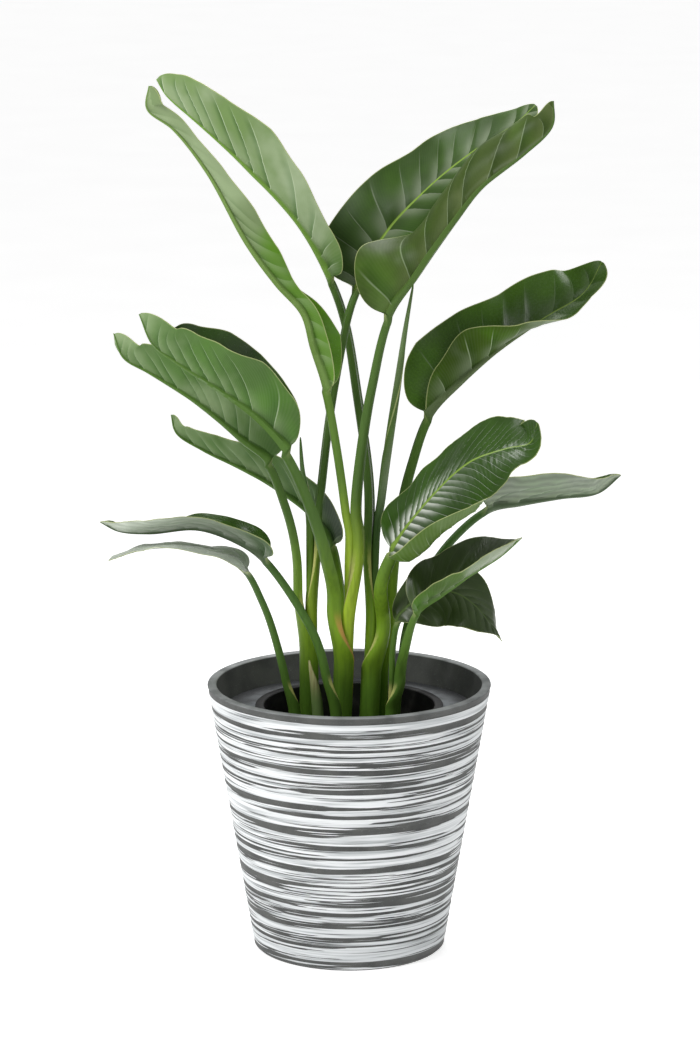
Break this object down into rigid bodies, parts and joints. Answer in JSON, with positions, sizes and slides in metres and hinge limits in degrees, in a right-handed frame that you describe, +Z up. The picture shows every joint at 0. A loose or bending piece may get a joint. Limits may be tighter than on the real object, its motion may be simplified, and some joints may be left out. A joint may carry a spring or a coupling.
{
  "type": "potted giant white bird of paradise",
  "caption": "Giant white bird of paradise plant in a black nursery pot, hung in a dark grey round planter with white brushed bands.",
  "frame": {"origin": "centre of the planter's base, on the floor", "axes": "+Z up from the floor, along the plant; -Y is the plant's front, the side that was pictured; +X is to the right seen from the front"},
  "size_m": [0.6628, 0.3644, 1.1207],
  "materials": {
    "planter": "matt dark grey fibre cement, raked in level lines, with white paint brushed over them",
    "collar": "dusty dark grey",
    "grow_pot": "satin black",
    "soil": "dark moist potting soil",
    "leaf": "glossy dark green above, paler and satin beneath, with a yellow-green midrib and stalk",
    "dry_sheath": "dry, pale brown"
  },
  "bodies": {
    "root": {"planter": "planter", "collar": "collar", "grow_pot": "grow_pot", "soil": "soil", "leaf_top_left": "leaf", "leaf_top_right_back": "leaf", "leaf_top_right_front": "leaf", "leaf_far_left_folded": "leaf", "leaf_right_upper": "leaf", "leaf_right_middle": "leaf", "leaf_right_low": "leaf", "leaf_front_right": "leaf", "leaf_drooping": "leaf", "leaf_left_upper": "leaf", "leaf_left_middle": "leaf", "leaf_left_lower": "leaf", "leaf_low_left_upper": "leaf", "leaf_low_left_lower": "leaf", "spear_tall": "leaf", "spear_short": "leaf", "spent_sheath": "dry_sheath"}
  },
  "joints": []
}
